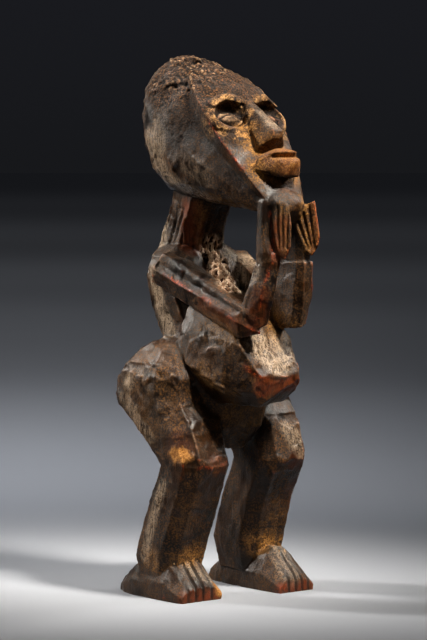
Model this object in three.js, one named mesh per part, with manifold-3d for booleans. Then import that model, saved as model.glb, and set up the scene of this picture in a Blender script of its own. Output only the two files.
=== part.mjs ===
// Carved wooden power figure: one block of hardwood, standing with bent knees, a swollen belly
// and both hands raised to the chin of a large head that looks up. Millimetres, +Z up, it faces -Y.
import * as THREE from "three";
import { ConvexGeometry } from "three/addons/geometries/ConvexGeometry.js";
import { mergeVertices } from "three/addons/utils/BufferGeometryUtils.js";
import Module from "manifold-3d";

const wasm = await Module();
wasm.setup();

// Driving dimensions
const WOOD = { color: 0x4a3424, roughness: 0.5, metalness: 0 };
const LEG_CHAMFER = 0.42;
const TORSO_CHAMFER = 0.4;
const NECK_CHAMFER = 0.5;
const ARM_CHAMFER = 0.45;
const HEAD_TILT = THREE.MathUtils.degToRad(40);
const HEAD_LENGTH = 118;
const CHIN_FRONT = 60;
const CHIN_UP = 210;

// Heights on the face as shares of the head's length, and the width of one eye
const EYE_LINE = 0.5;
const BROW_LINE = 0.58;
const NOSE_BASE = 0.3;
const MOUTH_LINE = 0.19;
const EYE_WIDTH = 14;
const EYE_SPACING = 27;

// Knife cuts: half width at the surface and depth
const FINGER_CUT = { width: 1, depth: 1.3 };
const TOE_CUT = { width: 1, depth: 1.5 };
const NECK_FLUTE = { width: 2, depth: 1.6 };
const ARM_CHANNEL = { width: 5, depth: 1.9 };
const SPINE_CUT = { width: 3.5, depth: 2 };
const HAIR_STEP = 0.9;

const RIGHT = -1;
const LEFT = 1;

// Sections of the legs from the ankle to the buttock: [x, front, up, half width, half depth]
const RIGHT_LEG = [
  [32, -2.4, 10, 13.5, 15.5],
  [31, -2.4, 25, 16, 17.5],
  [30, 7, 50, 16, 17.5],
  [29, 16, 73, 15.5, 16.6],
  [28.5, 5, 88, 17.5, 21.6],
  [28, -4, 98, 19, 26],
  [27, -10.5, 104, 20.5, 27.5],
  [26, -13.7, 110, 21, 28],
  [26, -11.5, 119, 21, 26.5],
  [25.5, -11, 127, 19, 21.5],
  [24, -9.5, 135, 14.5, 14.5],
  [22, -7, 141, 8, 7],
];
const LEFT_LEG = [
  [28.5, -6, 10, 13, 16.5],
  [29, -7, 27, 16.5, 18.5],
  [29, 0, 50, 16.5, 18],
  [29, 11, 73, 16.5, 18.5],
  [28.5, 4, 88, 17.5, 21.5],
  [28, -4, 98, 19, 25.5],
  [27, -10.5, 104, 20.5, 27],
  [26, -13.7, 110, 21, 27.5],
  [26, -11.5, 119, 21, 26.5],
  [25.5, -11, 127, 19, 21.5],
  [24, -9.5, 135, 14.5, 14.5],
  [22, -7, 141, 8, 7],
];

const TORSO = [
  [0, 8, 80, 7, 9],
  [0, 7, 92, 18, 17],
  [0, 4, 109, 23, 22],
  [0, 0, 126, 29, 24],
  [0, -3.5, 141, 26, 20],
  [0, -9.5, 149, 25, 19],
  [0, -15, 161, 26, 19],
  [0, -17, 176, 27, 18],
  [0, -18, 185, 24.5, 14.5],
  [0, -20.5, 191, 17, 12],
];
const NECK = [
  [0, -24, 176, 19, 18],
  [0, -23.5, 188, 16.5, 17],
  [0, -20, 199, 15.5, 16],
  [0, -14.5, 210, 15, 15.5],
  [0, -9, 226, 15, 17],
];

// Corners of the belly: [x, front, up]
const BELLY = [
  [-20, 4, 166], [20, 4, 166], [-19, 22, 160], [18, 20, 160],
  [-13, 38, 150], [13, 36, 150],
  [-23, 46, 138.5], [17.5, 41, 141],
  [-15, 55, 121.5], [15.5, 52, 121], [-18, 53, 114.5], [17, 46, 113],
  [-12, 49.5, 105.5], [13, 41, 107],
  [-29, 16, 143], [29, 14, 143], [-27, 37, 131], [24, 33, 131],
  [-32, 1, 134], [32, 1, 134], [-31, 17, 126], [30, 17, 126], [-26, 36, 115.5], [24, 32, 115],
  [-19, 8, 107], [19, 8, 107],
];

// Corners of the upper arms at the shoulder and at the elbow
const RIGHT_UPPER_ARM = [
  [18, -15, 188], [28.5, -12, 187], [32.5, -16.5, 178], [30.5, -19.5, 171], [18, -20, 169],
  [12, 43, 163], [22, 45, 160.5], [25.5, 46, 151.5], [22, 44.5, 142.5], [12, 45, 144], [17, 56, 145.5],
];
const LEFT_UPPER_ARM = [
  [18, -15, 188], [29, -9, 187], [32.5, -14.5, 178], [30.5, -18, 170], [18, -20, 169],
  [10, 40, 163], [18, 42, 161], [21, 43, 153], [18, 42, 147], [10, 42, 146], [14, 51, 148],
];
const RIGHT_FOREARM = [
  [17, 46, 147], [22.5, 46, 150], [21, 43, 155], [11, 50, 149], [12, 56, 150], [17.5, 55, 148],
  [20.5, 49.8, 168], [17.5, 46.5, 168], [10.5, 48, 168], [8.6, 58, 168], [11.5, 61.5, 168], [18, 58, 168],
  [16.4, 52, 183], [14, 50, 184], [8.5, 51, 184], [7, 58, 183], [9.5, 60.8, 182], [14.5, 58.5, 183],
  [8.4, 62.8, 186.5], [11.5, 60.5, 188.5], [5, 58, 188],
];
const LEFT_FOREARM = [
  [9, 40, 149], [9, 51, 147], [13, 55, 147.5], [19, 52, 149], [20, 46, 150], [16, 40, 149],
  [8.5, 37, 168], [8.5, 54, 168], [12, 58.5, 168], [19.5, 57, 168], [21, 50, 168], [17, 40, 168],
  [9, 36, 182], [9, 55, 183], [12, 59, 183], [18, 58.4, 183], [19, 52, 182], [16, 40, 182],
];

// Corners of the palms, the fingers' leaf of each hand, with the pointed heel of the hand last
const RIGHT_PALM = [
  [11, 57.5, 215], [7, 67, 215], [6.5, 50.5, 215], [3, 62, 215],
  [12, 60, 200], [6.8, 69.2, 203], [6.5, 50.5, 200], [3, 63, 201],
  [7, 69.3, 192], [3.5, 64, 192], [6.5, 51, 187], [10.4, 63.4, 187], [8.5, 66.3, 184.6],
];
const LEFT_PALM = [
  [6, 53, 209], [15, 63.5, 216], [16, 53, 213], [18.5, 60, 215],
  [9, 55.5, 199], [17, 65.5, 196], [14, 50, 199], [19.5, 60, 198],
  [11.5, 58.5, 190], [16.4, 64.6, 191], [16, 54, 188], [18.5, 59, 189], [14.3, 62.2, 186],
];

// Sections of the thumbs and wrists: [x, front, up, half width, half depth]
const RIGHT_THUMB = [
  [12.5, 54, 172, 3.4, 4],
  [12, 54.6, 188, 4.4, 5],
  [13, 53.6, 197, 3, 3.6],
  [12, 53.2, 216, 2.8, 3.4],
];
const LEFT_THUMB = [
  [14.5, 49, 172, 3.6, 7],
  [14.2, 48.5, 189, 4.6, 10],
  [14, 50, 200, 4, 6.5],
  [14, 51.5, 214, 3.4, 4],
];

const RIGHT_FOOT = { heel: -39, toe: 26.5, inner: 18.5, outer: 47.5 };
const LEFT_FOOT = { heel: -37, toe: 34, inner: 16.5, outer: 42 };

// The skull in the head's own frame: [share of its length, half width, front, back]
const SKULL = [
  [-0.02, 8, -2, -6],
  [0.06, 14.5, 1, -10],
  [0.16, 19.5, 3, -21],
  [0.28, 24, 4, -34.5],
  [0.4, 27.5, 5, -47.5],
  [0.52, 28.8, 6, -58.5],
  [0.64, 29.4, 6, -62],
  [0.76, 28.5, 4.5, -59],
  [0.86, 25.5, 0, -53],
  [0.95, 20.5, -5, -45.5],
  [1.01, 13.5, -11, -38],
  [1.03, 7, -17, -31],
];
// The raised mask of the face: [share of the head's length, half width, front]
const MASK = [
  [-0.02, 9, 1],
  [0.06, 13.5, 4.5],
  [0.17, 18, 6.5],
  [0.28, 21.5, 8],
  [0.4, 24.5, 9],
  [0.5, 26.5, 10],
  [0.6, 26.5, 10.5],
  [0.7, 24.5, 9.5],
  [0.79, 20.5, 6.5],
  [0.86, 13, 2],
];

// A point of the figure: to its left, to its front, and up from the ground.
const at = (left, front, up) => new THREE.Vector3(left, -front, up);
const sided = (side, corners) => corners.map(([x, front, up]) => at(side * x, front, up));

const CHIN = at(0, CHIN_FRONT, CHIN_UP);
const UP_FACE = at(0, -Math.sin(HEAD_TILT), Math.cos(HEAD_TILT));
const OUT_FACE = at(0, Math.cos(HEAD_TILT), Math.sin(HEAD_TILT));

// A point of the head: across, up the face from the chin, and out of the face.
const face = (u, v, w) =>
  CHIN.clone().add(at(u, 0, 0)).addScaledVector(UP_FACE, v).addScaledVector(OUT_FACE, w);

// A closed mesh as a solid that can be joined and cut.
function solid(geometry) {
  const bare = new THREE.BufferGeometry();
  bare.setAttribute("position", geometry.getAttribute("position"));
  if (geometry.index) bare.setIndex(geometry.index);
  const merged = mergeVertices(bare, 1e-4);
  return new wasm.Manifold(new wasm.Mesh({
    numProp: 3,
    vertProperties: new Float32Array(merged.attributes.position.array),
    triVerts: new Uint32Array(merged.index.array),
  }));
}

const join = (solids) => solids.reduce((a, b) => a.add(b));
const cut = (from, solids) => solids.reduce((a, b) => a.subtract(b), from);

// The faceted block that wraps a set of corner points.
const hull = (points) => solid(new ConvexGeometry(points));

// A square section with its corners cut off, as [across, deep] shares of the half sizes.
function chamfered(share) {
  const s = 1 - share;
  return [[1, -s], [1, s], [s, 1], [-s, 1], [-1, s], [-1, -s], [-s, -1], [s, -1]];
}

// A rounded section of the given number of sides.
function rounded(sides, squareness) {
  const bend = (v) => Math.sign(v) * Math.abs(v) ** (2 / squareness);
  return Array.from({ length: sides }, (_, i) => {
    const angle = ((i + 0.5) * 2 * Math.PI) / sides;
    return [bend(Math.cos(angle)), bend(Math.sin(angle))];
  });
}

// A solid skinned over rings of the same number of points, with flat ends.
function skin(rings) {
  const sides = rings[0].length;
  const faces = [];
  for (let r = 0; r + 1 < rings.length; r++) {
    for (let i = 0; i < sides; i++) {
      const a = r * sides + i;
      const b = r * sides + ((i + 1) % sides);
      faces.push(a, b, b + sides, a, b + sides, a + sides);
    }
  }
  const last = (rings.length - 1) * sides;
  for (let i = 1; i + 1 < sides; i++) {
    faces.push(0, i + 1, i);
    faces.push(last, last + i, last + i + 1);
  }
  const geometry = new THREE.BufferGeometry().setFromPoints(rings.flat());
  geometry.setIndex(faces);
  const made = solid(geometry);
  if (made.volume() > 0) return made;
  geometry.setIndex(faces.reverse());
  return solid(geometry);
}

// A body part built from level sections.
function slices(side, stations, section) {
  return skin(stations.map(([x, front, up, halfWidth, halfDepth]) =>
    section.map(([u, v]) => at(side * x + u * halfWidth, front + v * halfDepth, up))));
}

// A round lump in the head's frame.
function lump(centre, radii) {
  const ball = new THREE.SphereGeometry(1, 14, 10);
  const frame = new THREE.Matrix4().makeBasis(
    at(radii[0], 0, 0),
    UP_FACE.clone().multiplyScalar(radii[1]),
    OUT_FACE.clone().multiplyScalar(radii[2]),
  );
  const placed = ball.applyMatrix4(frame.setPosition(centre));
  return solid(placed);
}

// A knife cut that follows points on the surface: a wedge, deepest along its middle line.
function knifeCut(points, out, { width, depth }) {
  const along = points[points.length - 1].clone().sub(points[0]);
  const side = along.cross(out).normalize();
  return skin(points.map((p) => [
    p.clone().addScaledVector(out, -depth),
    p.clone().addScaledVector(side, 2 * width).addScaledVector(out, depth),
    p.clone().addScaledVector(side, -2 * width).addScaledVector(out, depth),
  ]));
}

// A foot: level heel, instep against the ankle, and four cuts that part the five toes.
function foot(side, { heel, toe, inner, outer }) {
  // share of the length from heel to toe, inner edge, outer edge, height
  const profile = [
    [0.0, 0.33, 0.6, 4],
    [0.07, 0.2, 0.76, 8.5],
    [0.2, 0.1, 0.9, 15],
    [0.34, 0.04, 0.98, 22],
    [0.78, 0, 1, 24],
    [0.88, 0, 1, 16.5],
    [0.97, 0, 0.99, 10.5],
    [1.0, 0.02, 0.96, 7.5],
  ];
  const block = skin(profile.map(([share, from, to, height]) => {
    const front = heel + share * (toe - heel);
    const a = inner + from * (outer - inner);
    const b = inner + to * (outer - inner);
    return [[0, 0], [-0.02, 0.4], [0.14, 0.84], [0.36, 1], [0.6, 0.97], [0.85, 0.76], [1.02, 0.36], [1, 0]]
      .map(([u, w]) => at(side * (a + u * (b - a)), front, w * height));
  }));
  const cuts = [0.26, 0.46, 0.64, 0.82].map((share) => {
    const x = side * (inner + share * (outer - inner));
    const fall = 2.5 * share;
    return knifeCut([
      at(x * 0.94 + side * 1.5, toe - 14, 23 - fall),
      at(x, toe - 2.6, 11.4 - fall),
      at(x, toe, 7.6 - fall),
      at(x, toe + 0.8, -2),
    ], at(0, 0.75, 0.66), TOE_CUT);
  });
  return cut(block, cuts);
}

// A hand: a leaf of four fingers laid side by side, with its heel pointed at the wrist.
// Each cut runs from a share of the way along the fingers' tips to the same share near the heel.
function hand(side, palm, tips, heels, out) {
  const between = ([from, to], share) => {
    const mix = from.map((v, i) => THREE.MathUtils.lerp(v, to[i], share));
    return at(side * mix[0], mix[1], mix[2]);
  };
  const cuts = [0.25, 0.5, 0.75].map((share) =>
    knifeCut([between(tips, share), between(heels, share)], out, FINGER_CUT));
  return cut(hull(sided(side, palm)), cuts);
}

function upperArm(side, corners) {
  const [shoulder, elbow] = [corners[1], corners[6]];
  const channel = knifeCut([
    at(side * (shoulder[0] + 3), shoulder[1] - 2.5, shoulder[2] - 5.5),
    at(side * (elbow[0] + 2.3), elbow[1] + 1, elbow[2] - 3.5),
  ], at(side * 0.95, 0.1, 0.3), ARM_CHANNEL);
  return cut(hull(sided(side, corners)), [channel]);
}

// How far the mask stands out of the head's own frame at a share of its length.
function maskFront(share) {
  const next = MASK.findIndex(([s]) => s >= share);
  const [s0, , f0] = MASK[next - 1];
  const [s1, , f1] = MASK[next];
  return THREE.MathUtils.mapLinear(share, s0, s1, f0, f1);
}

// A point of the face: across, share of the head's length, and proud of the mask.
const feature = (u, share, proud) => face(u, share * HEAD_LENGTH, maskFront(share) + proud);

function skull(grown) {
  return skin(SKULL.map(([share, half, front, back]) =>
    rounded(20, 2.3).map(([u, w]) => face(
      u * (half + grown),
      share * HEAD_LENGTH + grown * (share > 0.5 ? 1 : 0),
      (front + back) / 2 + w * ((front - back) / 2 + grown),
    ))));
}

function mask() {
  const across = [-1, -0.8, -0.55, -0.25, 0, 0.25, 0.55, 0.8, 1];
  return skin(MASK.map(([share, half, front]) => [
    ...across.map((u) => face(u * half, share * HEAD_LENGTH, front - 0.24 * half * u * u)),
    face(half * 0.8, share * HEAD_LENGTH, front - 0.9 * half),
    face(-half * 0.8, share * HEAD_LENGTH, front - 0.9 * half),
  ]));
}

// An almond outline about the centre of one eye, pulled in or out and standing proud of the hollow.
function almond(side, length, rise, proud) {
  const outline = [
    [-1, -0.1], [-0.6, 0.7], [-0.1, 1], [0.45, 0.85], [1, 0.05], [0.5, -0.65], [-0.1, -0.8], [-0.6, -0.6],
  ];
  const ring = (depth) => outline.map(([u, v]) => face(
    side * EYE_SPACING / 2 + side * u * length / 2,
    EYE_LINE * HEAD_LENGTH + v * rise / 2,
    maskFront(EYE_LINE) - 4.6 - 1 * u + depth,
  ));
  return hull([...ring(proud), ...ring(-9)]);
}

function eye(side) {
  const lids = almond(side, EYE_WIDTH + 3.4, 9.5, 0);
  const opening = almond(side, EYE_WIDTH, 6.6, 4);
  const ball = lump(feature(side * EYE_SPACING / 2, EYE_LINE, -8), [6.8, 3.6, 4.4]);
  return join([cut(lids, [opening]), ball]);
}

const socket = (side, proud) => feature(side * EYE_SPACING / 2, EYE_LINE + 0.01, proud);
const rim = (side) => lump(socket(side, -5), [13.4, 11.4, 5]);
const hollow = (side) => lump(socket(side, -0.4), [11, 8.4, 7.4]);

const brow = (side) => hull([
  feature(side * 1, BROW_LINE - 0.02, 2), feature(side * 1, BROW_LINE + 0.03, 0.5),
  feature(side * 13, BROW_LINE + 0.022, 3.6), feature(side * 13, BROW_LINE + 0.06, -1),
  feature(side * 23, BROW_LINE - 0.02, -1), feature(side * 23, BROW_LINE + 0.03, -4),
  feature(side * 2, BROW_LINE, -8), feature(side * 20, BROW_LINE, -9),
]);

const nose = hull([
  feature(-2.4, BROW_LINE, 2), feature(2.4, BROW_LINE, 2),
  feature(-3.8, BROW_LINE - 0.04, -4), feature(3.8, BROW_LINE - 0.04, -4),
  feature(-2.6, NOSE_BASE + 0.1, 9), feature(2.6, NOSE_BASE + 0.1, 9),
  feature(-3.2, NOSE_BASE + 0.035, 12.5), feature(3.2, NOSE_BASE + 0.035, 12.5),
  feature(-2.6, NOSE_BASE, 10.5), feature(2.6, NOSE_BASE, 10.5),
  feature(-9.5, NOSE_BASE + 0.03, 3.4), feature(9.5, NOSE_BASE + 0.03, 3.4),
  feature(-9, NOSE_BASE, 3), feature(9, NOSE_BASE, 3),
  feature(-6, NOSE_BASE, -6), feature(6, NOSE_BASE, -6),
]);
const nostril = (side) => lump(feature(side * 4.4, NOSE_BASE - 0.008, 5), [2.2, 2.4, 2.4]);

// The lips: a blunt block that juts from the mask, opened by a wedge between the lips.
const lips = hull([
  feature(-15, MOUTH_LINE + 0.03, -3), feature(15, MOUTH_LINE + 0.03, -3),
  feature(-13, MOUTH_LINE + 0.07, 2.5), feature(13, MOUTH_LINE + 0.07, 2.5),
  feature(-3.5, MOUTH_LINE + 0.078, 8), feature(3.5, MOUTH_LINE + 0.078, 8),
  feature(-8, MOUTH_LINE + 0.024, 13), feature(8, MOUTH_LINE + 0.024, 13),
  feature(-7, MOUTH_LINE - 0.028, 12), feature(7, MOUTH_LINE - 0.028, 12),
  feature(-7, MOUTH_LINE - 0.078, 6), feature(7, MOUTH_LINE - 0.078, 6),
  feature(-12.5, MOUTH_LINE - 0.02, 1.5), feature(12.5, MOUTH_LINE - 0.02, 1.5),
]);
const parting = hull([
  feature(-12, MOUTH_LINE + 0.034, 4), feature(12, MOUTH_LINE + 0.034, 4),
  feature(-13, MOUTH_LINE + 0.02, 17), feature(13, MOUTH_LINE + 0.02, 17),
  feature(-13, MOUTH_LINE - 0.018, 17), feature(13, MOUTH_LINE - 0.018, 17),
]);
const chin = lump(feature(0, 0.05, -2.5), [12, 8, 5]);

// The hair: a low step over the crown, left rough, with two pits and a smaller one.
const belowHair = hull([RIGHT * 60, LEFT * 60].flatMap((x) => [
  at(x, -90, 253), at(x, 60, 301), at(x, -90, 160), at(x, 60, 160),
]));
const hair = cut(skull(HAIR_STEP), [belowHair]);
const pits = [
  lump(at(-5, -15, 294), [6, 4.5, 5]),
  lump(at(-12.5, -26, 287.5), [3, 3, 4]),
  lump(at(9, -24, 291), [3.5, 4, 4]),
];

const brows = join([skull(0), mask(), rim(RIGHT), rim(LEFT), brow(RIGHT), brow(LEFT)]);
const head = cut(join([
  cut(brows, [hollow(RIGHT), hollow(LEFT)]),
  eye(RIGHT),
  eye(LEFT),
  cut(nose, [nostril(RIGHT), nostril(LEFT)]),
  cut(lips, [parting]),
  chin,
  hair,
]), pits);

// The neck is fluted down its sides.
const flutes = [RIGHT, LEFT].flatMap((side) => [-0.8, 0.1].map((share) => knifeCut([
  at(side * 16.6, -23.5 + 8 * share, 185),
  at(side * 15.4, -20 + 8 * share, 199),
  at(side * 15, -14.5 + 8 * share, 212),
], at(side, 0, 0), NECK_FLUTE)));

// The wood has crumbled away at the foot of the neck.
const decay = [
  hull([
    at(-9, 1, 188), at(2, 0, 190), at(-10, 12, 176), at(3, 14, 178),
    at(-6, 4, 168), at(1, 6, 168), at(-6, -8, 184), at(0, -9, 180), at(-4, 22, 180),
  ]),
  hull([
    at(5, 0, 184), at(9, 1, 182), at(4, 4, 172), at(8, 6, 173), at(6, -7, 180), at(8, 12, 180),
  ]),
];

const spine = knifeCut([
  at(0, -42, 190), at(0, -35, 176), at(0, -34, 161),
  at(0, -28.5, 149), at(0, -23.5, 141), at(0, -25.5, 124),
], at(0, -1, 0), SPINE_CUT);

const trunk = join([
  slices(RIGHT, TORSO, chamfered(TORSO_CHAMFER)),
  cut(slices(RIGHT, NECK, chamfered(NECK_CHAMFER)), flutes),
  hull(BELLY.map(([x, front, up]) => at(x, front, up))),
  slices(RIGHT, RIGHT_LEG, chamfered(LEG_CHAMFER)),
  slices(LEFT, LEFT_LEG, chamfered(LEG_CHAMFER)),
]);

const carving = join([
  cut(trunk, [...decay, spine]),
  foot(RIGHT, RIGHT_FOOT),
  foot(LEFT, LEFT_FOOT),
  upperArm(RIGHT, RIGHT_UPPER_ARM),
  upperArm(LEFT, LEFT_UPPER_ARM),
  hull(sided(RIGHT, RIGHT_FOREARM)),
  hull(sided(LEFT, LEFT_FOREARM)),
  slices(RIGHT, RIGHT_THUMB, chamfered(ARM_CHAMFER)),
  slices(LEFT, LEFT_THUMB, chamfered(ARM_CHAMFER)),
  hand(
    RIGHT, RIGHT_PALM,
    [[11, 57.5, 216], [6, 70, 216]], [[11.5, 61.5, 190], [7.4, 69, 190]], at(-0.93, 0.37, 0),
  ),
  hand(
    LEFT, LEFT_PALM,
    [[5, 51, 210], [15, 63.5, 219]], [[12, 59.5, 189], [16, 64.5, 189]], at(-0.72, 0.7, 0),
  ),
  head,
]);

function toGeometry(made) {
  const mesh = made.getMesh();
  const points = [];
  for (let i = 0; i < mesh.numVert; i++) {
    points.push(new THREE.Vector3().fromArray(mesh.vertProperties, i * mesh.numProp));
  }
  const geometry = new THREE.BufferGeometry().setFromPoints(points);
  geometry.setIndex(Array.from(mesh.triVerts));
  geometry.computeVertexNormals();
  return geometry;
}

// Chips that the cuts set free fall away, and the figure is set over the middle of its own outline.
const whole = carving.decompose().reduce((a, b) => (a.volume() > b.volume() ? a : b));
const { min, max } = whole.boundingBox();
const standing = whole.translate([-(min[0] + max[0]) / 2, -(min[1] + max[1]) / 2, -min[2]]);

const figure = new THREE.Mesh(toGeometry(standing), new THREE.MeshStandardMaterial(WOOD));
figure.name = "figure";

const group = new THREE.Group();
group.add(figure);
export default group;
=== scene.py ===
"""Carved wooden power figure, standing on a pale floor in soft studio light.

The figure is one piece. Its solid is cut finer here: knife facets over the broad forms, a crusted
and pitted brow, rotten wood at the foot of the neck, cracks and worn edges.
Sizes are in millimetres on the figure's own axes (left, front, up), unless a name or a comment
says metres.
"""
import math
from types import SimpleNamespace

import bmesh
import bpy
import numpy as np
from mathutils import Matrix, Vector
from mathutils.bvhtree import BVHTree
from mathutils.kdtree import KDTree


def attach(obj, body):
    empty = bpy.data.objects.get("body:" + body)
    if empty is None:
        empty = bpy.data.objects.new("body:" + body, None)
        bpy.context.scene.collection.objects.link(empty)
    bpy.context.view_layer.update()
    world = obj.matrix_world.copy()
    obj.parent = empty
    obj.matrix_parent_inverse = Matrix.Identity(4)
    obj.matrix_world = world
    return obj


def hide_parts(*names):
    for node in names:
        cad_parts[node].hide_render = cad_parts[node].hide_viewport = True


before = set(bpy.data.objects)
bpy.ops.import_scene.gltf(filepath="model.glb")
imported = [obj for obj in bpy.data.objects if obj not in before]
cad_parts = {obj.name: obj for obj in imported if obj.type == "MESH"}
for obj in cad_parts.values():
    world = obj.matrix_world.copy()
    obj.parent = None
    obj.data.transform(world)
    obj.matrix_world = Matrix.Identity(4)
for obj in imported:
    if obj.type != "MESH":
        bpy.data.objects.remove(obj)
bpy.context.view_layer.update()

# Where the origin of the figure's own axes lies in the frame
MIDDLE = np.array([0.29, 10.65, 0.0])

# Head: the tilted frame in which the face is laid out
HEAD_TILT = math.radians(40)
CHIN = (0, 60, 210)

VOXEL = 0.58
MOST_TRIANGLES = 190000

rng = np.random.default_rng(7)


def smooth(low, high, value):
    """0 up to low, 1 from high on, and smooth between them."""
    share = np.clip((value - low) / (high - low), 0, 1)
    return share * share * (3 - 2 * share)


def spot(left, front, up):
    """A point of the figure as x, y, z in millimetres, about its own middle."""
    return np.array([left, -front, up], float)


def head_spot(across, up_face, out_face):
    """A point of the head: across, up the face from the chin, and out of the face."""
    sine, cosine = math.sin(HEAD_TILT), math.cos(HEAD_TILT)
    return spot(CHIN[0] + across, CHIN[1] - up_face * sine + out_face * cosine,
                CHIN[2] + up_face * cosine + out_face * sine)


def in_head(points):
    """The across, up-the-face and out-of-the-face coordinates of points."""
    sine, cosine = math.sin(HEAD_TILT), math.cos(HEAD_TILT)
    front, up = -points[:, 1] - CHIN[1], points[:, 2] - CHIN[2]
    return points[:, 0] - CHIN[0], up * cosine - front * sine, front * cosine + up * sine


# Noise. Large whole numbers without a common factor scramble the numbers of a cell.
CELL_FACTORS = (374761393, 668265263, 2147483647)
SEED_FACTOR = 144665
FIRST_FACTOR, SECOND_FACTOR = 1274126177, 69069
ALL_BITS = 0x7FFFFFFF
LATTICE_VALUES = 100003
NAME_FACTOR = 10007
# These keep the numbers of nearly all cells above zero.
NOISE_OFFSET, CENTRE_OFFSET = 100, 50


def lattice(cell, seed):
    """One random number from 0 to 1 for each whole-number cell."""
    whole = cell.astype(np.int64)
    mixed = sum(whole[..., axis] * factor for axis, factor in enumerate(CELL_FACTORS))
    mixed = mixed + seed * SEED_FACTOR
    mixed = (mixed ^ (mixed >> 13)) * FIRST_FACTOR & ALL_BITS
    mixed = (mixed ^ (mixed >> 16)) * SECOND_FACTOR & ALL_BITS
    return (mixed % LATTICE_VALUES) / LATTICE_VALUES


def noise(points, size, seed, octaves=1):
    """Smooth noise from -1 to 1 with lumps of the given size."""
    total, weight, share = 0.0, 0.0, 1.0
    for octave in range(octaves):
        scaled = points / size * 2 ** octave + NOISE_OFFSET
        base = np.floor(scaled)
        blend = smooth(0, 1, scaled - base)
        value = 0.0
        for corner in np.ndindex(2, 2, 2):
            corner_share = np.prod(np.where(np.array(corner), blend, 1 - blend), axis=1)
            value = value + corner_share * lattice(base + corner, seed + octave)
        total = total + share * (2 * value - 1)
        weight += share
        share *= 0.5
    return total / weight


def cells(points, size, seed):
    """For each point the nearest of a set of scattered centres: its name, and how many sizes away."""
    scaled = points / size + CENTRE_OFFSET
    base = np.floor(scaled)
    best = np.full(len(points), np.inf)
    name = np.zeros(len(points), np.int64)
    for step in np.ndindex(3, 3, 3):
        cell = base + np.array(step) - 1
        centre = cell + np.stack([lattice(cell, seed + k) for k in (1, 2, 3)], axis=1)
        gap = np.linalg.norm(scaled - centre, axis=1)
        key = (cell[:, 0] * NAME_FACTOR + cell[:, 1]) * NAME_FACTOR + cell[:, 2]
        closer = gap < best
        best = np.where(closer, gap, best)
        name = np.where(closer, key.astype(np.int64), name)
    return name, best


# Mesh tools on plain arrays
class Surface:
    """Points in millimetres about the figure's middle, with the edges and triangles between them."""

    def __init__(self, mesh):
        count = len(mesh.vertices)
        places = np.empty(count * 3, np.float32)
        mesh.vertices.foreach_get("co", places)
        self.points = places.reshape(-1, 3).astype(float) * 1000 - MIDDLE
        edges = np.empty(len(mesh.edges) * 2, np.int32)
        mesh.edges.foreach_get("vertices", edges)
        self.edges = edges.reshape(-1, 2)
        mesh.calc_loop_triangles()
        tris = np.empty(len(mesh.loop_triangles) * 3, np.int32)
        mesh.loop_triangles.foreach_get("vertices", tris)
        self.tris = tris.reshape(-1, 3)
        self.degree = np.bincount(self.edges.ravel(), minlength=count).astype(float)
        self.mesh = mesh

    def average(self, values):
        """The mean of each point's neighbours."""
        one, other = self.edges[:, 0], self.edges[:, 1]
        flat = values.reshape(len(self.degree), -1)
        out = np.empty_like(flat)
        for k in range(flat.shape[1]):
            out[:, k] = (np.bincount(one, flat[other, k], len(self.degree))
                         + np.bincount(other, flat[one, k], len(self.degree))) / self.degree
        return out.reshape(values.shape)

    def relaxed(self, values, times, share=0.5):
        """Values drawn towards their neighbours' mean, several times over."""
        for _ in range(times):
            values = values + share * (self.average(values) - values)
        return values

    def soften(self, places, rim, times):
        """Relaxes the points near a list of lines."""
        amount = swept(self.points, places, rim)
        self.points += amount[:, None] * (self.relaxed(self.points, times) - self.points)

    def normals(self):
        first, second, third = (self.points[self.tris[:, k]] for k in range(3))
        face = np.cross(second - first, third - first)
        out = np.zeros_like(self.points)
        for k in range(3):
            for axis in range(3):
                out[:, axis] += np.bincount(self.tris[:, k], face[:, axis], len(out))
        return unit(out)

    def push(self, amount):
        """Moves each point out along its normal."""
        self.points = self.points + self.normals() * amount[:, None]

    def write(self):
        places = ((self.points + MIDDLE) / 1000).astype(np.float32)
        self.mesh.vertices.foreach_set("co", places.ravel())
        self.mesh.update()


def unit(rows):
    """Each row at length 1; a row of zeros stays as it is."""
    return rows / np.maximum(np.linalg.norm(rows, axis=1, keepdims=True), 1e-9)


def dot(rows, others):
    return np.einsum("ij,ij->i", rows, others)


def near_line(points, line):
    """Distance of each point to a line through corner points, and how far along it lies, 0 to 1."""
    best = np.linalg.norm(points - line[0], axis=1)
    share = np.zeros(len(points))
    for k in range(len(line) - 1):
        start, way = line[k], line[k + 1] - line[k]
        along = np.clip(((points - start) @ way) / (way @ way), 0, 1)
        gap = np.linalg.norm(points - start - along[:, None] * way, axis=1)
        closer = gap < best
        best = np.where(closer, gap, best)
        share = np.where(closer, (k + along) / (len(line) - 1), share)
    return best, share


def nearest(points, lines):
    """Distance of each point to the nearest of several lines."""
    return np.min([near_line(points, line)[0] for line in lines], axis=0)


def inside(gap, radius, rim):
    """1 within a radius and 0 beyond it, with a soft rim that is a share of the radius."""
    return 1 - smooth(radius * (1 - rim), radius * (1 + rim), gap)


def blob(points, centre, radius, rim):
    """1 inside a ball and 0 outside."""
    return inside(np.linalg.norm(points - centre, axis=1), radius, rim)


def swept(points, places, rim=0.5):
    """The greatest amount that a list of lines, each with a radius, gives to each point."""
    best = np.zeros(len(points))
    for line, radius, amount in places:
        best = np.maximum(best, amount * inside(near_line(points, line)[0], radius, rim))
    return best


# Places on the carving
EYE_ACROSS, EYE_UP = 13.5, 59
EYES = [head_spot(side * EYE_ACROSS, EYE_UP, 6) for side in (-1, 1)]
MOUTH = head_spot(0, 23, 14)
HANDS = [spot(-9, 62, 201), spot(13.5, 59, 201)]

# Regions of the carving. An entry is a line of points, a radius about it and an amount.
# Rotten wood at the foot of the neck
ROTTEN = [
    ([spot(0, -4, 189), spot(1, 0, 178), spot(-6, 12, 176), spot(-13, 28, 169)], 7, 1.0),
]
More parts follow.
